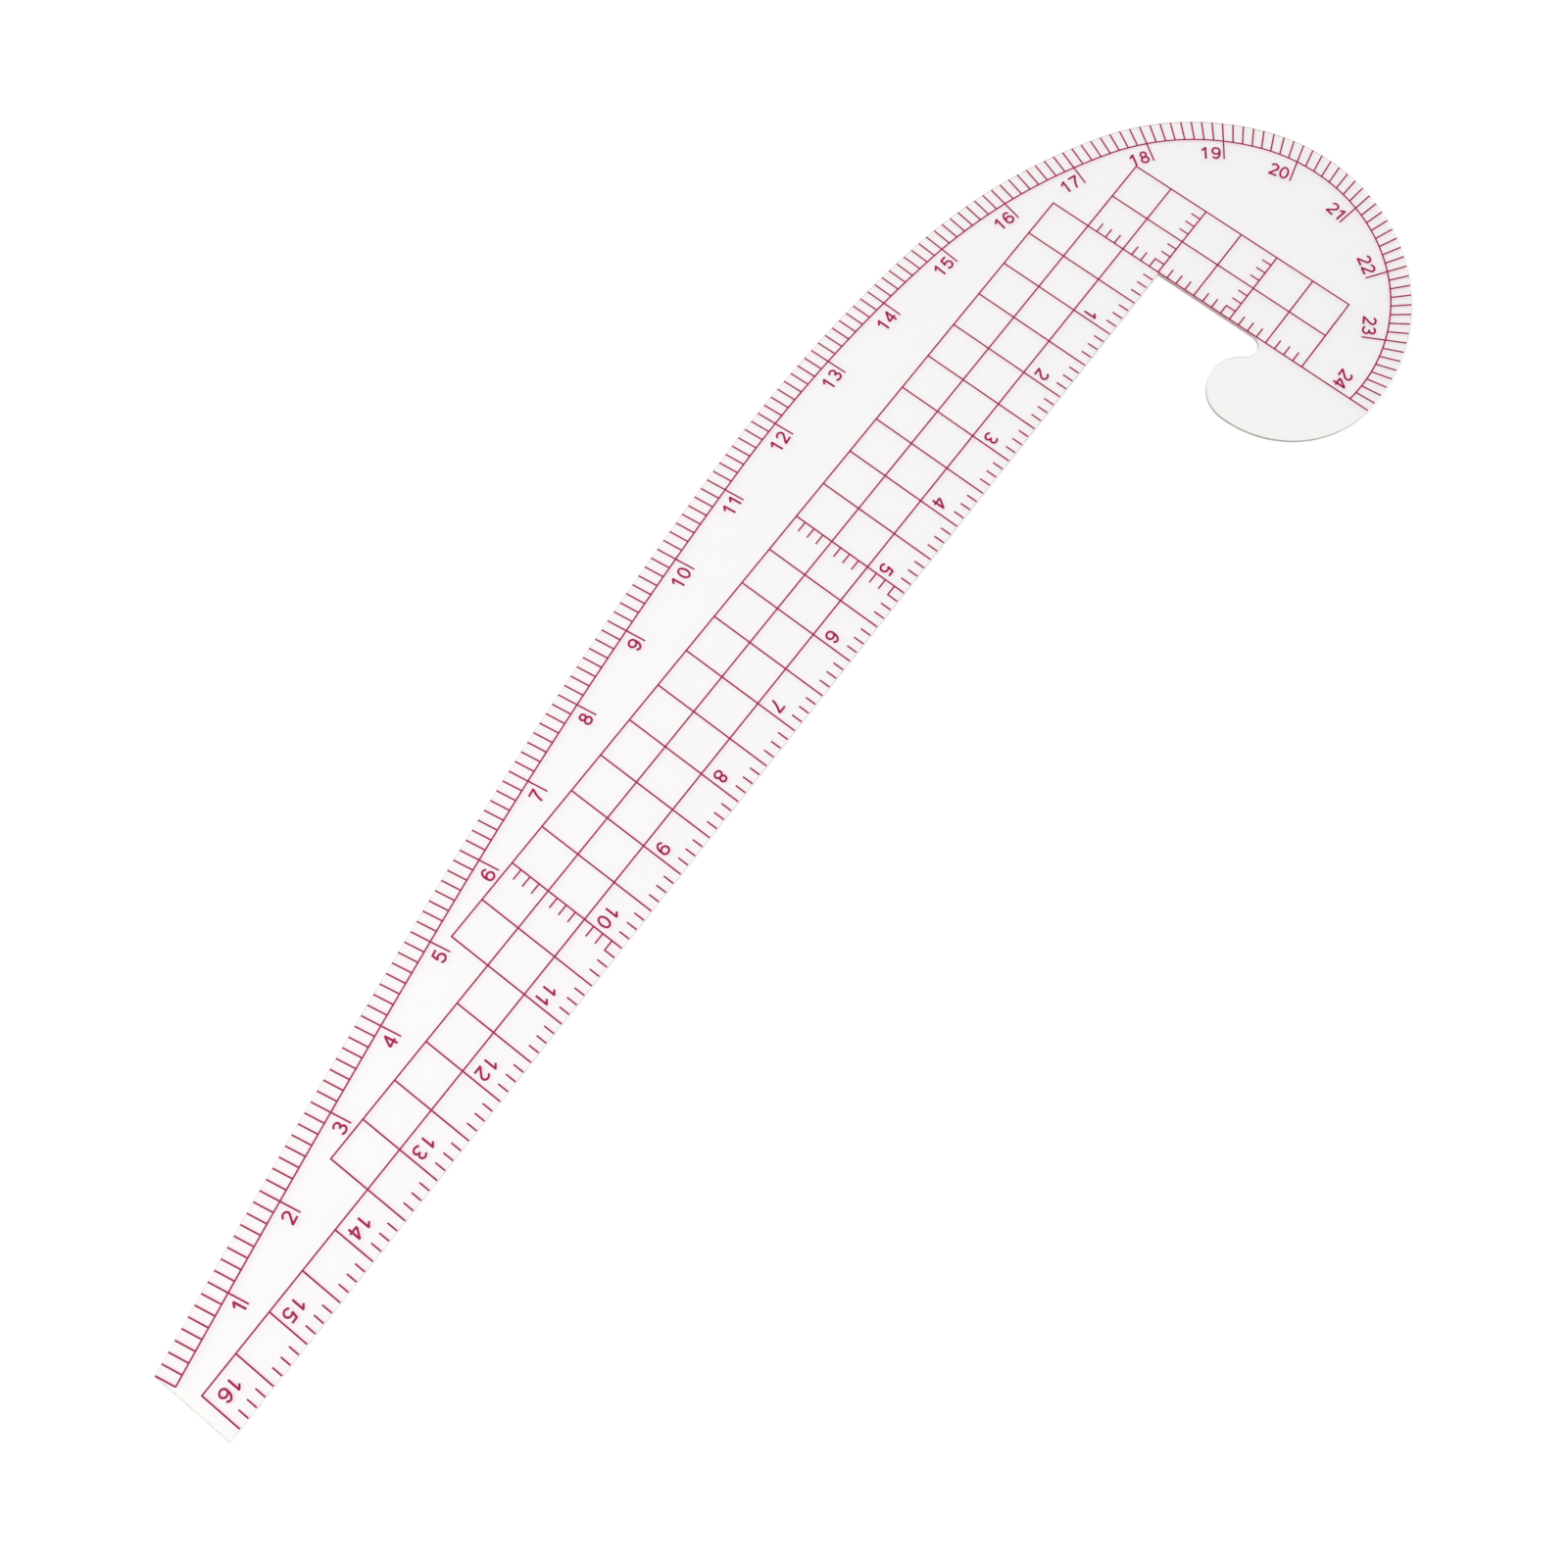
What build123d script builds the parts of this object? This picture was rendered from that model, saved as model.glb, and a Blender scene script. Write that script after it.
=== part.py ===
"""A clear plastic french curve with an inch scale printed on its upper face.

One flat sheet carries all the print. Its scale frame has a zero corner, where the straight edge
and the short leg meet. The straight edge runs from there along -X to the tip, the short leg runs
along -Y, and the long curve runs from the tip round the head to the 24 inch mark. The hook and
its notch join the end of the curve to the short leg. The sheet is cut slightly outside the scale
frame. Each group of printed marks is a thin solid of ink on the sheet.

The part lies on its underside at Z = 0, and the origin is below the middle of the sheet's box.
"""

import os
from math import atan2, ceil, cos, degrees, hypot, radians, sin, sqrt

from build123d import *

os.makedirs("parts", exist_ok=True)

# ---------------------------------------------------------------- driving dimensions, millimetres
inch = 25.4
half = inch / 2
eighth = inch / 8

sheet_thickness = 1.0
cut_allowance = 0.3  # the sheet is cut this far outside the scale frame
print_reach = 0.2  # marks that start at an edge start this far outside the scale frame
ink_thickness = 0.025
line_width = 0.48

# The place of the zero corner in the part's frame
zero_corner_x = 174.0
zero_corner_y = 3.8

# The curve: tangent arcs from the tip to the 24 inch mark, as radius and length
curve_arcs = (
    (170.0 * inch, 5.25 * inch),
    (61.0 * inch, 6.0 * inch),
    (17.75 * inch, 3.5 * inch),
    (6.85 * inch, 2.75 * inch),
    (2.97 * inch, 2.0 * inch),
    (2.19 * inch, 4.5 * inch),
)
tip_height = 0.99 * inch
tip_heading = 11.0  # degrees, the direction of the curve at the tip

# The hook: a wide arc, a lobe inside it and a notch that ends on the short leg
hook_radius = 1.22 * inch
hook_turn = 86.25  # degrees
lobe_radius = 0.418 * inch
notch_radius = 0.16 * inch

# The curve scale
scale_inches = 24
ticks_per_inch = 8
tick_band = 5.9  # from the curve to the base line
inch_mark_end = 12.1  # from the curve to the inner end of an inch mark
head_mark_end = 13.0  # the same for the longer marks at the end of the scale
head_marks_start = 20  # the first longer mark
base_line_step = 0.25 * inch  # the longest arc in the base line
# The ticks lean off the perpendicular: inches along the curve, and degrees
lean_points = ((0, 0.5), (6, 2.0), (12, 3.5), (16, 6.0), (19.5, 6.0), (21.5, 9.5), (23.5, 9.5), (24, 6.9))

# The straight edge, the grids and the short leg
straight_inches = 16
grid_rows = ((0.5, 16.0), (1.0, 13.5), (1.5, 11.0))  # height and length of each row, inches
cross_scale_inches = (5, 10)
cross_scale_height = 1.5 * inch
head_grid_width = 1.0 * inch
head_grid_top = 1.0 * inch
head_grid_bottom = -2.0 * inch
zero_line_top = 1.5 * inch
head_scale_heights = (0.0, -1.0 * inch)

# The numerals
digit_height = 4.05
digit_pen = 0.64
digit_advance = 0.777 * digit_height
curve_numeral_gap = 1.1  # from a numeral to the mark that it names
straight_numeral_gap = 1.35
last_numeral_gap = 2.4
straight_numeral_top = 6.0

# Each digit is drawn in a cell one unit high. A stroke is a line (x, y, x, y) or an oval arc
# (centre x, centre y, x radius, y radius, start angle, sweep).
digit_strokes = {
    "0": ((0.385, 0.5, 0.275, 0.44, 0, 360),),
    "1": ((0.39, 0.0, 0.39, 1.0), (0.39, 0.95, 0.10, 0.70)),
    "2": (
        (0.375, 0.70, 0.255, 0.24, 165, -205),
        (0.575, 0.55, 0.14, 0.09),
        (0.06, 0.06, 0.70, 0.06),
    ),
    "3": (
        (0.375, 0.725, 0.235, 0.215, 160, -260),
        (0.38, 0.285, 0.275, 0.225, 100, -260),
    ),
    "4": (
        (0.51, 0.0, 0.51, 1.0),
        (0.50, 0.96, 0.07, 0.33),
        (0.03, 0.30, 0.70, 0.30),
    ),
    "5": (
        (0.20, 0.94, 0.67, 0.94),
        (0.23, 0.98, 0.145, 0.47),
        (0.38, 0.33, 0.275, 0.27, 150, -305),
    ),
    "6": (
        (0.38, 0.32, 0.275, 0.26, 0, 360),
        (0.40, 0.48, 0.295, 0.46, 40, 150),
    ),
    "7": (
        (0.06, 0.94, 0.70, 0.94),
        (1.98, -0.23, 1.745, 1.745, 139, 33.5),
    ),
    "8": (
        (0.385, 0.727, 0.21, 0.213, 0, 360),
        (0.385, 0.287, 0.265, 0.227, 0, 360),
    ),
    "9": (
        (0.39, 0.68, 0.275, 0.26, 0, 360),
        (0.37, 0.52, 0.295, 0.46, 220, 150),
    ),
}
digit_right_side = {"1": 0.45}  # the right side of a narrow digit's ink in its cell
usual_right_side = 0.71


# ---------------------------------------------------------------- the curve by formula
def arc_end(x, y, heading, radius, length):
    """The point and the heading at the end of an arc that turns clockwise."""
    turned = heading - degrees(length / radius)
    x += radius * (sin(radians(heading)) - sin(radians(turned)))
    y += radius * (cos(radians(turned)) - cos(radians(heading)))
    return x, y, turned


def walk_curve(x, y, heading, distance):
    """The point and the heading at a distance along the curve that starts at x, y."""
    for radius, length in curve_arcs:
        step = min(length, distance)
        x, y, heading = arc_end(x, y, heading, radius, step)
        distance -= step
    return x, y, heading


def on_curve(distance):
    """The point and the heading at a distance along the curve from the tip."""
    return walk_curve(tip_x, tip_height, tip_heading, distance)


def tick_lean(inches):
    """How far a tick leans off the perpendicular, in degrees."""
    for (start, low), (end, high) in zip(lean_points, lean_points[1:]):
        if inches <= end:
            return low + (high - low) * (inches - start) / (end - start)
    return 0.0


def tick_location(inches, inset=0.0):
    """A frame on the curve: +Y points outward along the tick, and inset moves it inward."""
    x, y, heading = on_curve(inches * inch)
    angle = heading + tick_lean(inches)
    x += inset * sin(radians(angle))
    y -= inset * cos(radians(angle))
    return Location((x, y), angle)


def mark_end(inches):
    """How far inside the curve an inch mark ends."""
    return inch_mark_end if inches < head_marks_start else head_mark_end


curve_length = scale_inches * inch
tip_x = -walk_curve(0.0, tip_height, tip_heading, curve_length)[0]
hook_start_x, hook_start_y, hook_start_heading = on_curve(curve_length)

# The lobe touches the hook's arc from inside. The notch touches the lobe and the short leg.
hook_end_heading = hook_start_heading + 360 - hook_turn
hook_center_x = hook_start_x + hook_radius * sin(radians(hook_start_heading))
hook_center_y = hook_start_y - hook_radius * cos(radians(hook_start_heading))
lobe_center_x = hook_center_x - (hook_radius - lobe_radius) * sin(radians(hook_end_heading))
lobe_center_y = hook_center_y + (hook_radius - lobe_radius) * cos(radians(hook_end_heading))
lobe_to_notch_x = -notch_radius - lobe_center_x
lobe_to_notch_y = sqrt((lobe_radius + notch_radius) ** 2 - lobe_to_notch_x**2)
notch_heading = degrees(atan2(lobe_to_notch_y, lobe_to_notch_x)) - 90
lobe_turn = hook_end_heading - notch_heading
notch_turn = 90 - notch_heading

base_plane = Plane(origin=(zero_corner_x, zero_corner_y, 0))
print_plane = Plane(origin=(zero_corner_x, zero_corner_y, sheet_thickness))


# ---------------------------------------------------------------- drawing helpers
def direction(heading):
    """The unit vector of a heading in degrees."""
    return (cos(radians(heading)), sin(radians(heading)))


def ruled_line(x0, y0, x1, y1, width=line_width):
    """A straight stroke between two points of the open sketch."""
    middle = ((x0 + x1) / 2, (y0 + y1) / 2)
    with Locations(Location(middle, degrees(atan2(y1 - y0, x1 - x0)))):
        Rectangle(hypot(x1 - x0, y1 - y0), width)


def grid_reach(inches):
    """How high the blade grid reaches at a distance from the zero line."""
    return max(height for height, length in grid_rows if inches <= length) * inch


def draw_digit(digit):
    """A digit as a sketch, with its baseline at y = 0 and its cell starting at x = 0."""
    with BuildSketch(mode=Mode.PRIVATE) as drawn:
        for stroke in digit_strokes[digit]:
            x, y, across, up = [value * digit_height for value in stroke[:4]]
            if len(stroke) == 4:
                ruled_line(x, y, across, up, width=digit_pen)
            elif stroke[5] == 360:
                with Locations((x, y)):
                    Ellipse(across + digit_pen / 2, up + digit_pen / 2)
                    Ellipse(across - digit_pen / 2, up - digit_pen / 2, mode=Mode.SUBTRACT)
            else:
                with BuildLine():
                    EllipticalCenterArc((x, y), across, up, stroke[4], arc_size=stroke[5])
                trace(line_width=digit_pen)
    return drawn.sketch_local


digits = {digit: draw_digit(digit) for digit in digit_strokes}


def numeral(number, place):
    """A number whose last digit's ink ends at the place's origin, along the place's +X."""
    text = str(number)
    right_side = digit_right_side.get(text[-1], usual_right_side) * digit_height
    for index, digit in enumerate(text):
        shift = (index - len(text) + 1) * digit_advance - right_side
        with Locations(place * Location((shift, 0))):
            add(digits[digit])


# ---------------------------------------------------------------- the sheet
with BuildPart() as clear_sheet:
    with BuildSketch(base_plane):
        with BuildLine():
            Line((0, 0), (tip_x, 0))
            edge = Line((tip_x, 0), (tip_x, tip_height))
            heading = tip_heading
            for radius, length in curve_arcs:
                turn = degrees(length / radius)
                edge = JernArc(edge @ 1, direction(heading), radius, -turn)
                heading -= turn
            edge = JernArc(edge @ 1, direction(heading), hook_radius, -hook_turn)
            heading -= hook_turn
            edge = JernArc(edge @ 1, direction(heading), lobe_radius, -lobe_turn)
            heading -= lobe_turn
            edge = JernArc(edge @ 1, direction(heading), notch_radius, notch_turn)
            Line(edge @ 1, (0, 0))
        make_face()
        offset(amount=cut_allowance, kind=Kind.INTERSECTION)
    extrude(amount=sheet_thickness)
clear_sheet.part.label = "clear_sheet"
export_step(clear_sheet.part, "parts/clear_sheet.step")


# ---------------------------------------------------------------- the print
with BuildPart() as zero_line:
    with BuildSketch(print_plane) as zero_line_marks:
        ruled_line(0, zero_line_top + line_width / 2, 0, hook_start_y - print_reach)
    extrude(amount=ink_thickness)
zero_line.part.label = "zero_line"
export_step(zero_line.part, "parts/zero_line.step")

with BuildPart() as blade_grid:
    with BuildSketch(print_plane) as blade_grid_marks:
        for height, length in grid_rows:
            ruled_line(0, height * inch, -length * inch - line_width / 2, height * inch)
        for count in range(1, 2 * straight_inches + 1):
            ruled_line(-count * half, -print_reach, -count * half, grid_reach(count / 2))
        add(zero_line_marks.sketch_local, mode=Mode.SUBTRACT)
    extrude(amount=ink_thickness)
blade_grid.part.label = "blade_grid"
export_step(blade_grid.part, "parts/blade_grid.step")

with BuildPart() as head_grid:
    with BuildSketch(print_plane) as head_grid_marks:
        row_count = round((head_grid_top - head_grid_bottom) / half)
        for row in range(row_count + 1):
            height = head_grid_top - row * half
            ruled_line(0, height, head_grid_width + line_width / 2, height)
        for column in (half, head_grid_width):
            ruled_line(column, head_grid_top, column, head_grid_bottom)
        add(zero_line_marks.sketch_local, mode=Mode.SUBTRACT)
    extrude(amount=ink_thickness)
head_grid.part.label = "head_grid"
export_step(head_grid.part, "parts/head_grid.step")

with BuildPart() as short_leg_ticks:
    with BuildSketch(print_plane) as short_leg_marks:
        for count in range(1, round((head_grid_top - head_grid_bottom) / eighth)):
            height = head_grid_top - count * eighth
            if count % 4:
                ruled_line(0, height, eighth + line_width / 2, height)
        add(zero_line_marks.sketch_local, mode=Mode.SUBTRACT)
    extrude(amount=ink_thickness)
short_leg_ticks.part.label = "short_leg_ticks"
export_step(short_leg_ticks.part, "parts/short_leg_ticks.step")

with BuildPart() as head_cross_ticks:
    with BuildSketch(print_plane):
        for height in head_scale_heights:
            for count in range(1, ticks_per_inch):
                if count % 4:
                    ruled_line(count * eighth, height, count * eighth, height + eighth)
        add(head_grid_marks.sketch_local, mode=Mode.SUBTRACT)
        add(short_leg_marks.sketch_local, mode=Mode.SUBTRACT)
    extrude(amount=ink_thickness)
head_cross_ticks.part.label = "head_cross_ticks"
export_step(head_cross_ticks.part, "parts/head_cross_ticks.step")

cross_scale_marks = []
for inches in cross_scale_inches:
    with BuildPart() as cross_scale:
        with BuildSketch(print_plane) as marks:
            for count in range(1, round(cross_scale_height / eighth)):
                if count % 4:
                    end = -inches * inch - eighth - line_width / 2
                    ruled_line(-inches * inch, count * eighth, end, count * eighth)
            add(blade_grid_marks.sketch_local, mode=Mode.SUBTRACT)
        extrude(amount=ink_thickness)
    cross_scale_marks.append(marks.sketch_local)
    cross_scale.part.label = f"cross_scale_{inches}"
    export_step(cross_scale.part, f"parts/cross_scale_{inches}.step")

with BuildPart() as straight_edge_ticks:
    with BuildSketch(print_plane):
        for count in range(1, ticks_per_inch * straight_inches):
            if count % 4:
                ruled_line(-count * eighth, -print_reach, -count * eighth, eighth)
        for marks in cross_scale_marks:
            add(marks, mode=Mode.SUBTRACT)
    extrude(amount=ink_thickness)
straight_edge_ticks.part.label = "straight_edge_ticks"
export_step(straight_edge_ticks.part, "parts/straight_edge_ticks.step")

with BuildPart() as straight_numerals:
    with BuildSketch(print_plane):
        for number in range(1, straight_inches + 1):
            gap = straight_numeral_gap if number < straight_inches else last_numeral_gap
            baseline = straight_numeral_top + digit_height
            numeral(number, Location((gap - number * inch, baseline), 180))
    extrude(amount=ink_thickness)
straight_numerals.part.label = "straight_numerals"
export_step(straight_numerals.part, "parts/straight_numerals.step")

with BuildPart() as curve_base_line:
    with BuildSketch(print_plane) as base_line_marks:
        with BuildLine():
            x, y, heading = on_curve(0)
            point = (x + tick_band * sin(radians(heading)), y - tick_band * cos(radians(heading)))
            for radius, length in curve_arcs:
                # Short arcs keep the finished line true to the curve
                steps = ceil(length / base_line_step)
                turn = degrees(length / radius) / steps
                for step in range(steps):
                    edge = JernArc(point, direction(heading), radius - tick_band, -turn)
                    point = edge @ 1
                    heading -= turn
            Line(point, (0, (edge @ 1).Y))
        trace(line_width=line_width)
        add(zero_line_marks.sketch_local, mode=Mode.SUBTRACT)
    extrude(amount=ink_thickness)
curve_base_line.part.label = "curve_base_line"
export_step(curve_base_line.part, "parts/curve_base_line.step")

with BuildPart() as curve_eighth_ticks:
    with BuildSketch(print_plane) as tick_marks:
        tick_counts = range(ticks_per_inch * scale_inches)
        places = [tick_location(count / ticks_per_inch, -print_reach) for count in tick_counts]
        with Locations(*places):
            Rectangle(line_width, tick_band + print_reach, align=(Align.CENTER, Align.MAX))
        add(base_line_marks.sketch_local, mode=Mode.SUBTRACT)
    extrude(amount=ink_thickness)
curve_eighth_ticks.part.label = "curve_eighth_ticks"
export_step(curve_eighth_ticks.part, "parts/curve_eighth_ticks.step")

with BuildPart() as curve_inch_marks:
    with BuildSketch(print_plane):
        for number in range(1, scale_inches):
            with Locations(tick_location(number, tick_band)):
                length = mark_end(number) - tick_band
                Rectangle(line_width, length, align=(Align.CENTER, Align.MAX))
        add(base_line_marks.sketch_local, mode=Mode.SUBTRACT)
    extrude(amount=ink_thickness)
curve_inch_marks.part.label = "curve_inch_marks"
export_step(curve_inch_marks.part, "parts/curve_inch_marks.step")

with BuildPart() as curve_numerals:
    with BuildSketch(print_plane):
        for number in range(1, scale_inches + 1):
            place = tick_location(number, mark_end(number))
            numeral(number, place * Location((-curve_numeral_gap, 0)))
    extrude(amount=ink_thickness)
curve_numerals.part.label = "curve_numerals"
export_step(curve_numerals.part, "parts/curve_numerals.step")
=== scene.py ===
"""The looks of a clear plastic french curve with a magenta print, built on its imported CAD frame.

The sheet and the long base line get fine meshes, drawn by the same formulas as the CAD. The other
ink keeps its CAD meshes. Sizes are in metres, and angles are in degrees.
"""

from math import atan2, cos, degrees, radians, sin, sqrt

import bpy
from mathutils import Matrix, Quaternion, Vector
from mathutils.geometry import tessellate_polygon


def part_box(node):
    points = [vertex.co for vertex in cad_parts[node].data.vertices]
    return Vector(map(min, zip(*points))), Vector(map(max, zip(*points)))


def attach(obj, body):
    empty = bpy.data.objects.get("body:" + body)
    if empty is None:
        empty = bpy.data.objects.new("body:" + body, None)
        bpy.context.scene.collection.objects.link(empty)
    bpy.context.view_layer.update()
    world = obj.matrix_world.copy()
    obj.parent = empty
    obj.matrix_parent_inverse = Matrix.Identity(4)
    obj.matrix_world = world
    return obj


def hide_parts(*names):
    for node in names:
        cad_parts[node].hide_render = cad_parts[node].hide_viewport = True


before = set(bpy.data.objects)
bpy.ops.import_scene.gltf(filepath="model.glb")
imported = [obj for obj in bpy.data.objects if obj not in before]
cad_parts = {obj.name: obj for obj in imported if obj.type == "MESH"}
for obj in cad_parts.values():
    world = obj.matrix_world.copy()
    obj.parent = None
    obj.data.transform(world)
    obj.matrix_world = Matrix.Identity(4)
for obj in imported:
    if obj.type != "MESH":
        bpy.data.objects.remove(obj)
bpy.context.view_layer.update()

# ---------------------------------------------------------------- driving dimensions
inch = 0.0254
sheet_low, sheet_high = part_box("clear_sheet")
band_low, band_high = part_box("curve_base_line")
zero_low, zero_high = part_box("zero_line")

line_width = zero_high.x - zero_low.x
cut_allowance = 0.0003  # the sheet is cut this far outside the scale frame
edge_bevel = 0.00004

# The curve: tangent arcs from the tip to the 24 inch mark, as radius and length in inches
curve_arcs = ((170.0, 5.25), (61.0, 6.0), (17.75, 3.5), (6.85, 2.75), (2.97, 2.0), (2.19, 4.5))
tip_height = 0.99 * inch
tip_heading = 11.0
tick_band = 0.0059
hook_radius = 1.22 * inch
hook_turn = 86.25
lobe_radius = 0.418 * inch
notch_radius = 0.16 * inch
quarter_turn = 90
full_turn = 360
short_leg_heading = -270  # up the short leg, three clockwise quarter turns from +X

# The zero corner's place, from the sheet's box and the zero line
zero_corner_x = (zero_low.x + zero_high.x) / 2
tip_x = sheet_low.x + cut_allowance - zero_corner_x
zero_line_top = 1.5 * inch
zero_corner_y = zero_high.y - line_width / 2 - zero_line_top

# The furthest that two points on an arc are apart, as a turn and as a length
arc_step = 1.5
arc_stride = 0.003


# ---------------------------------------------------------------- outlines by formula
def arc_points(x, y, heading, radius, turn, side=-1):
    """Points with headings along an arc. Side -1 turns clockwise and 1 turns anticlockwise."""
    count = max(int(turn / arc_step), int(radius * radians(turn) / arc_stride)) + 1
    points = []
    for index in range(1, count + 1):
        turned = heading + side * turn * index / count
        along_x = x + side * radius * (sin(radians(turned)) - sin(radians(heading)))
        along_y = y + side * radius * (cos(radians(heading)) - cos(radians(turned)))
        points.append((along_x, along_y, turned))
    return points


def scale_curve():
    """Points with headings along the scale curve, from the tip to the 24 inch mark."""
    points = [(tip_x, tip_height, tip_heading)]
    for radius, length in curve_arcs:
        points += arc_points(*points[-1], radius * inch, degrees(length / radius))
    return points


def hook_curve(start):
    """Points with headings along the hook, the lobe and the notch."""
    points = arc_points(*start, hook_radius, hook_turn)
    x, y, heading = points[-1]
    center_x = x + lobe_radius * sin(radians(heading))
    notch_x = -notch_radius - center_x
    notch_y = sqrt((lobe_radius + notch_radius) ** 2 - notch_x**2)
    notch_heading = degrees(atan2(notch_y, notch_x)) - quarter_turn - full_turn
    points += arc_points(x, y, heading, lobe_radius, heading - notch_heading)
    points += arc_points(*points[-1], notch_radius, short_leg_heading - notch_heading, side=1)
    return points


def moved_out(point, distance):
    """A point of the clockwise outline, moved outward square to its heading."""
    x, y, heading = point
    return (x - distance * sin(radians(heading)), y + distance * cos(radians(heading)))


def sheet_outline(outset):
    """The closed outline of the sheet, as points that lie this far outside the scale frame."""
    curve = scale_curve()
    outline = [moved_out(point, outset) for point in curve[1:] + hook_curve(curve[-1])]
    corner_y = tip_height + outset * (1 - sin(radians(tip_heading))) / cos(radians(tip_heading))
    tip = tip_x - outset
    return [(-outset, -outset), (tip, -outset), (tip, corner_y)] + outline


def placed(outline, height):
    """The points of an outline in the part's frame, at a height."""
    return [(x + zero_corner_x, y + zero_corner_y, height) for x, y in outline]


# ---------------------------------------------------------------- meshes
def mesh_object(name, vertices, faces, materials, second_from=None):
    """A mesh object. Faces from second_from on are smooth and take the second material."""
    mesh = bpy.data.meshes.new(name)
    mesh.from_pydata(vertices, [], faces)
    for material in materials:
        mesh.materials.append(material)
    if second_from is not None:
        for polygon in mesh.polygons[second_from:]:
            polygon.material_index = 1
            polygon.use_smooth = True
    mesh.validate()
    piece = bpy.data.objects.new(name, mesh)
    bpy.context.scene.collection.objects.link(piece)
    return piece


def runs_clockwise(first, second, third):
    """Whether three points in the plane of the sheet run clockwise."""
    left_term = (second[0] - first[0]) * (third[1] - first[1])
    right_term = (second[1] - first[1]) * (third[0] - first[0])
    return left_term < right_term


def sheet_piece(face_material, edge_material):
    """The sheet with its cut edge, whose two arrises are slightly broken."""
    low, high = sheet_low.z, sheet_high.z
    inner = sheet_outline(cut_allowance - edge_bevel)
    outer = sheet_outline(cut_allowance)
    rings = [
        placed(inner, low),
        placed(outer, low + edge_bevel),
        placed(outer, high - edge_bevel),
        placed(inner, high),
    ]
    count = len(inner)
    vertices = [point for ring in rings for point in ring]
    top = tessellate_polygon([[Vector(point) for point in rings[3]]])
    faces = []
    for a, b, c in top:
        if runs_clockwise(inner[a], inner[b], inner[c]):
            b, c = c, b
        faces.append((a + 3 * count, b + 3 * count, c + 3 * count))
        faces.append((a, c, b))
    cap_count = len(faces)
    for ring in range(len(rings) - 1):
        for index in range(count):
            following = (index + 1) % count
            start, end = ring * count + index, ring * count + following
            faces.append((start, start + count, end + count, end))
    return mesh_object("sheet", vertices, faces, [face_material, edge_material], cap_count)


def ribbon_piece(name, left, right, low, high, material):
    """A flat strip of ink between two lines of points."""
    count = len(left)
    vertices = placed(left, high) + placed(right, high) + placed(left, low) + placed(right, low)
    faces = []
    for a in range(count - 1):
        b = a + 1
        left_top = (a, b)
        right_top = (a + count, b + count)
        left_base = (a + 2 * count, b + 2 * count)
        right_base = (a + 3 * count, b + 3 * count)
        faces.append((left_top[0], right_top[0], right_top[1], left_top[1]))
        faces.append((left_base[0], left_base[1], right_base[1], right_base[0]))
        faces.append((left_top[0], left_top[1], left_base[1], left_base[0]))
        faces.append((right_top[0], right_base[0], right_base[1], right_top[1]))
    for end, flip in ((0, 1), (count - 1, -1)):
        cap = (end, end + 2 * count, end + 3 * count, end + count)
        faces.append(cap[::flip])
    return mesh_object(name, vertices, faces, [material])


def base_line_piece(material):
    """The line that the ticks of the curve scale stand on, with its short end on the zero line."""
    curve = scale_curve()
    left = [moved_out(point, line_width / 2 - tick_band) for point in curve]
    right = [moved_out(point, -line_width / 2 - tick_band) for point in curve]
    end_y = moved_out(curve[-1], -tick_band)[1]
    left.append((line_width / 2, end_y - line_width / 2))
    right.append((line_width / 2, end_y + line_width / 2))
    return ribbon_piece("base_line", left, right, band_low.z, band_high.z, material)


# ---------------------------------------------------------------- materials
plastic_ior = 1.5
plastic_tones = ((0.985, 0.985, 0.982), (0.995, 0.995, 0.993))
plastic_light_tint = (0.917, 0.917, 0.91)
plastic_wave_depth = 0.00001

# The edge's darker grey-brown colour is painted shade, standing in for the shade that internal
# reflection shows along the cut edge
edge_painted_shade_tones = ((0.62, 0.61, 0.53), (0.76, 0.75, 0.67))
edge_light_tint = (0.86, 0.85, 0.83)
edge_clarity = 0.65
saw_line_depth = 0.00003

ink_tones = ((0.30, 0.0, 0.066), (0.23, 0.0, 0.048))  # a thin and a thick coat
ink_light_tint = (0.96, 0.76, 0.86)
ink_gloss = 0.15
ink_grain_depth = 0.000006

ground_tones = ((0.80, 0.80, 0.80), (0.82, 0.82, 0.82))
ground_roughness = 0.9

# The range that most of a noise texture's values lie in
noise_low = 0.3
noise_high = 0.7


def new_material(name):
    """A material with only its output and a Principled shader."""
    material = bpy.data.materials.new(name)
    material.use_nodes = True
    nodes = material.node_tree.nodes
    return material, nodes, material.node_tree.links, nodes["Principled BSDF"], nodes["Material Output"]


def noise(nodes, links, scale, detail, stretch=(1, 1, 1)):
    """A noise texture in object space, in cycles a metre, which may be stretched."""
    place = nodes.new("ShaderNodeTexCoord")
    mapping = nodes.new("ShaderNodeMapping")
    mapping.inputs["Scale"].default_value = stretch
    texture = nodes.new("ShaderNodeTexNoise")
    texture.inputs["Scale"].default_value = scale
    texture.inputs["Detail"].default_value = detail
    links.new(place.outputs["Object"], mapping.inputs["Vector"])
    links.new(mapping.outputs["Vector"], texture.inputs["Vector"])
    return texture.outputs["Fac"]


def spread(nodes, links, value, low, high):
    """The noise value with its usual range stretched to low and high."""
    node = nodes.new("ShaderNodeMapRange")
    node.inputs["From Min"].default_value = noise_low
    node.inputs["From Max"].default_value = noise_high
    node.inputs["To Min"].default_value = low
    node.inputs["To Max"].default_value = high
    links.new(value, node.inputs["Value"])
    return node.outputs["Result"]


def two_colours(nodes, links, value, first, second):
    """A colour that runs from the first to the second as the value runs from 0 to 1."""
    ramp = nodes.new("ShaderNodeValToRGB")
    ramp.color_ramp.elements[0].color = (*first, 1)
    ramp.color_ramp.elements[1].color = (*second, 1)
    links.new(value, ramp.inputs["Fac"])
    return ramp.outputs["Color"]


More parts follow.
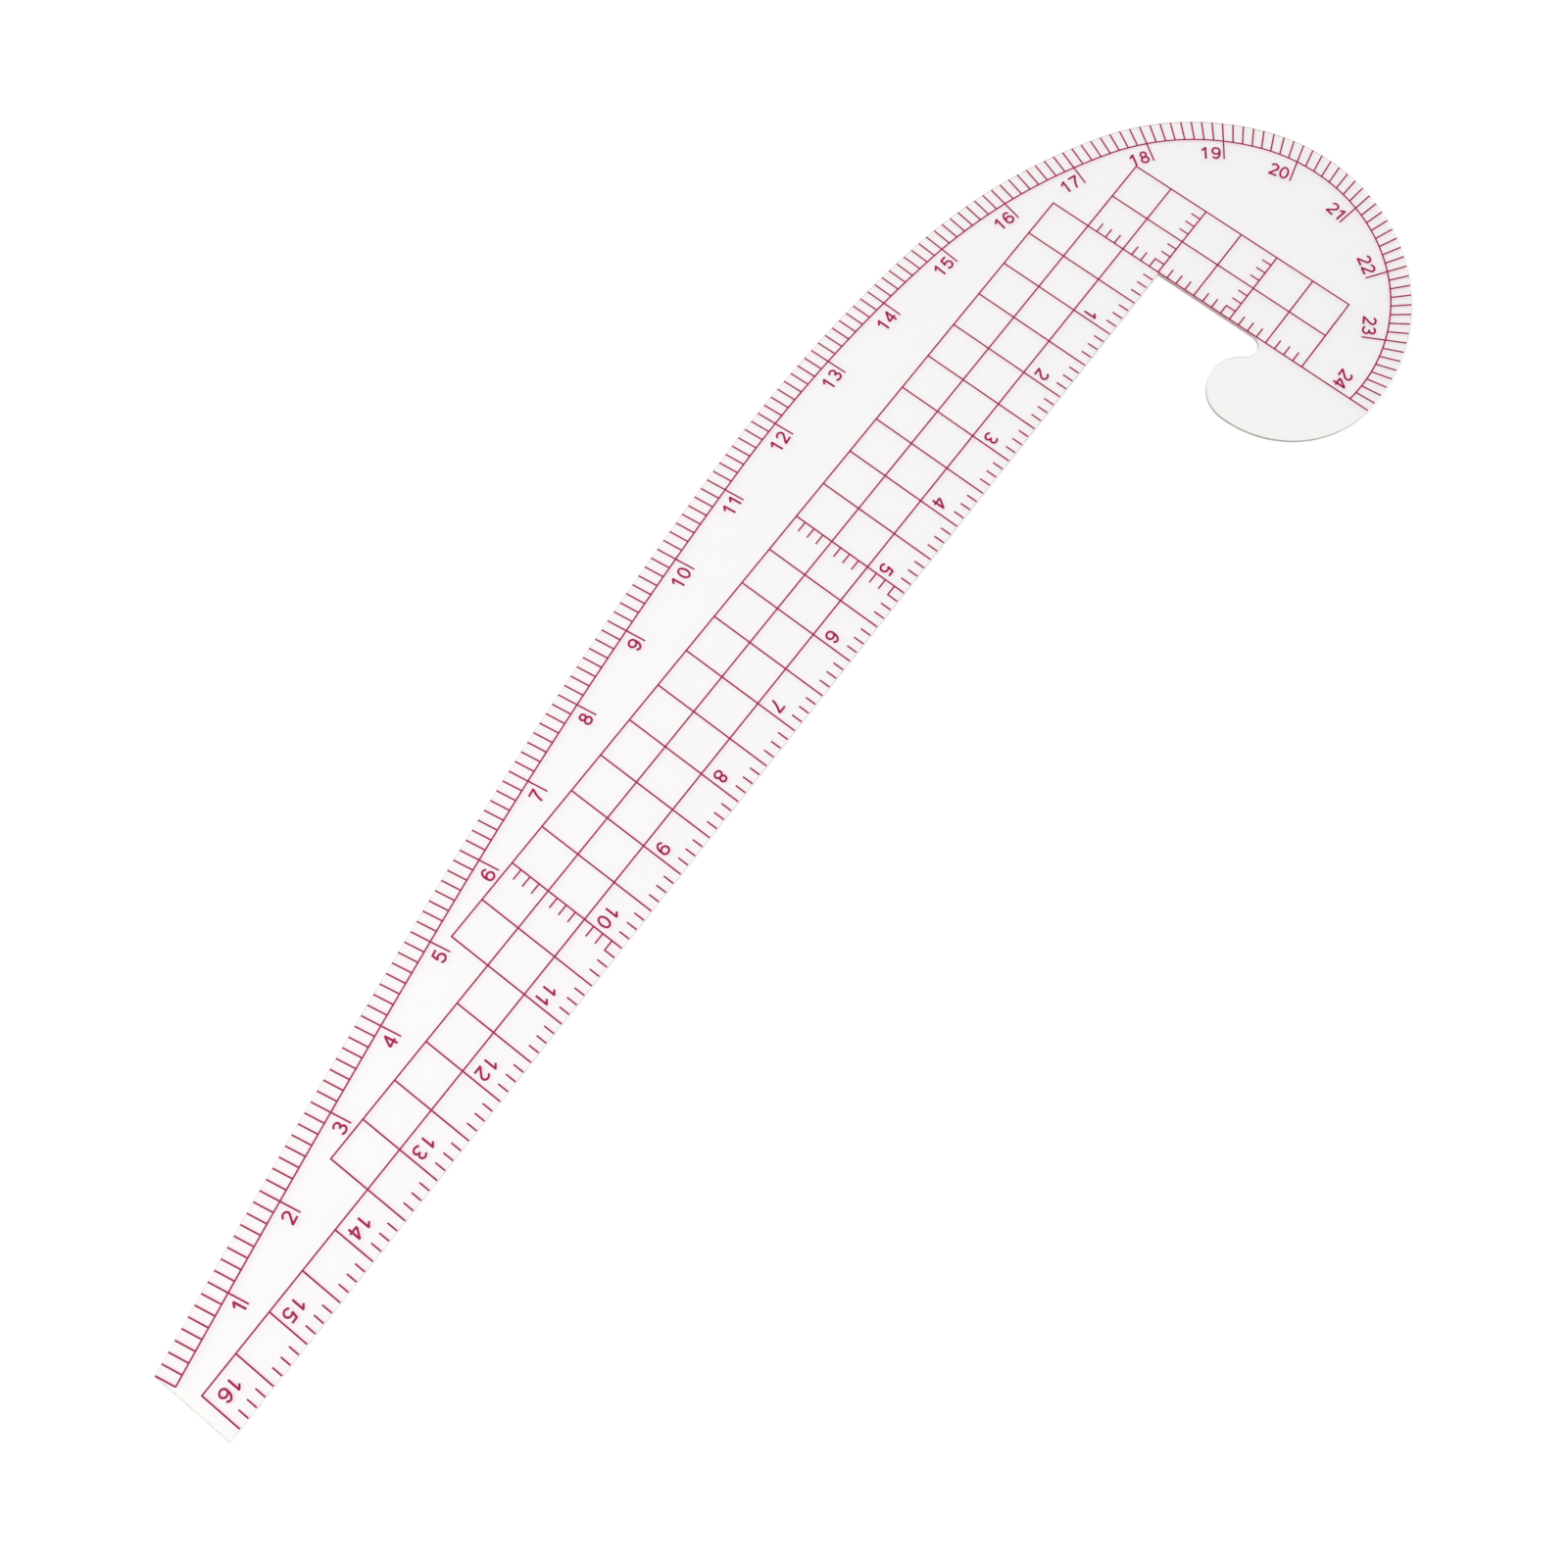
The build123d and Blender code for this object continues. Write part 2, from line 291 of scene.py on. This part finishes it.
def add_bump(nodes, links, shader, height, distance):
    """Relief of this depth on a shader."""
    bump = nodes.new("ShaderNodeBump")
    bump.inputs["Distance"].default_value = distance
    bump.inputs["Strength"].default_value = 1
    links.new(height, bump.inputs["Height"])
    links.new(bump.outputs["Normal"], shader.inputs["Normal"])


def let_light_through(nodes, links, shader, output, tint):
    """Lets lamps and soft light pass straight through with a tint. Other rays meet the shader."""
    path = nodes.new("ShaderNodeLightPath")
    either = nodes.new("ShaderNodeMath")
    either.operation = "MAXIMUM"
    links.new(path.outputs["Is Shadow Ray"], either.inputs[0])
    links.new(path.outputs["Is Diffuse Ray"], either.inputs[1])
    clear = nodes.new("ShaderNodeBsdfTransparent")
    clear.inputs["Color"].default_value = (*tint, 1)
    mix = nodes.new("ShaderNodeMixShader")
    links.new(either.outputs["Value"], mix.inputs["Fac"])
    links.new(shader.outputs["BSDF"], mix.inputs[1])
    links.new(clear.outputs["BSDF"], mix.inputs[2])
    links.new(mix.outputs["Shader"], output.inputs["Surface"])


def clear_plastic():
    """Clear plastic faces: smooth and see-through, with faint waves and fine rubbing marks."""
    material, nodes, links, shader, output = new_material("clear_plastic")
    waves = noise(nodes, links, 60, 4)
    rubbing = noise(nodes, links, 900, 3, stretch=(0.06, 1, 1))
    shader.inputs["IOR"].default_value = plastic_ior
    shader.inputs["Transmission Weight"].default_value = 1
    links.new(two_colours(nodes, links, waves, *plastic_tones), shader.inputs["Base Color"])
    links.new(spread(nodes, links, rubbing, 0.02, 0.08), shader.inputs["Roughness"])
    add_bump(nodes, links, shader, waves, plastic_wave_depth)
    let_light_through(nodes, links, shader, output, plastic_light_tint)
    return material


def cut_edge_painted_shade():
    """The cut edge of the plastic: partly clear, with fine saw lines, and a darker colour than the
    faces as painted shade for the shade that internal reflection shows along the edge.
    """
    material, nodes, links, shader, output = new_material("cut_edge_painted_shade")
    lines = noise(nodes, links, 700, 3, stretch=(1, 1, 0.15))
    # Painted shade: the edge colour is darkened to stand in for the shade of internal reflection at the
    # cut edge
    links.new(two_colours(nodes, links, lines, *edge_painted_shade_tones), shader.inputs["Base Color"])
    links.new(spread(nodes, links, lines, 0.35, 0.55), shader.inputs["Roughness"])
    shader.inputs["IOR"].default_value = plastic_ior
    shader.inputs["Transmission Weight"].default_value = edge_clarity
    add_bump(nodes, links, shader, lines, saw_line_depth)
    let_light_through(nodes, links, shader, output, edge_light_tint)
    return material


def magenta_ink():
    """Screen-printed ink, half matt, whose tone runs between a thin and a thick coat."""
    material, nodes, links, shader, output = new_material("magenta_ink")
    cover = noise(nodes, links, 1500, 3)
    links.new(two_colours(nodes, links, cover, *ink_tones), shader.inputs["Base Color"])
    links.new(spread(nodes, links, cover, 0.4, 0.6), shader.inputs["Roughness"])
    shader.inputs["Specular IOR Level"].default_value = ink_gloss
    add_bump(nodes, links, shader, cover, ink_grain_depth)
    let_light_through(nodes, links, shader, output, ink_light_tint)
    return material


def white_paper():
    """The plain pale ground."""
    material, nodes, links, shader, output = new_material("white_ground")
    grain = noise(nodes, links, 400, 3)
    links.new(two_colours(nodes, links, grain, *ground_tones), shader.inputs["Base Color"])
    shader.inputs["Roughness"].default_value = ground_roughness
    return material


# ---------------------------------------------------------------- the object
ink = magenta_ink()
sheet = sheet_piece(clear_plastic(), cut_edge_painted_shade())
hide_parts("clear_sheet")
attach(sheet, "root")

base_line = base_line_piece(ink)
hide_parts("curve_base_line")
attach(base_line, "root")

for name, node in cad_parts.items():
    if name not in ("clear_sheet", "curve_base_line"):
        node.data.materials.clear()
        node.data.materials.append(ink)

# ---------------------------------------------------------------- ground, light and camera
ground_gap = 0.0002  # under the sheet, which never lies quite flat
ground_size = 30.0
key_place = (-0.45, 0.65, 1.1)
key_size = 0.45
key_power = 8.5


def ground_piece():
    """A wide white ground under the sheet."""
    reach = ground_size / 2
    corners = [(-reach, -reach), (reach, -reach), (reach, reach), (-reach, reach)]
    vertices = [(x, y, sheet_low.z - ground_gap) for x, y in corners]
    return mesh_object("ground", vertices, [(0, 1, 2, 3)], [white_paper()])


def area_light(name, place, size, power):
    """A square soft light that looks at the middle of the part's frame."""
    light = bpy.data.lights.new(name, "AREA")
    light.energy = power
    light.size = size
    holder = bpy.data.objects.new(name, light)
    holder.location = place
    holder.rotation_euler = (-Vector(place)).to_track_quat("-Z", "Y").to_euler()
    bpy.context.scene.collection.objects.link(holder)


ground_piece()
area_light("key", key_place, key_size, key_power)

world = bpy.data.worlds.new("studio")
world.use_nodes = True
world.node_tree.nodes["Background"].inputs["Color"].default_value = (1, 1, 1, 1)
world.node_tree.nodes["Background"].inputs["Strength"].default_value = 1.0
bpy.context.scene.world = world
bpy.context.scene.view_settings.view_transform = "Standard"

camera_place = Vector((-0.09469, -0.06479, 0.41962))
camera_aim = Vector((-0.01761, -0.00329, 0.001))
camera_roll = -1.049
camera_lens = 35.95

camera_data = bpy.data.cameras.new("camera")
camera_data.lens = camera_lens
camera_data.sensor_width = 36
camera_data.clip_start = 0.01
camera = bpy.data.objects.new("camera", camera_data)
camera.location = camera_place
aimed = (camera_aim - camera_place).to_track_quat("-Z", "Y")
camera.rotation_euler = (aimed @ Quaternion((0, 0, 1), radians(camera_roll))).to_euler()
bpy.context.scene.collection.objects.link(camera)
bpy.context.scene.camera = camera
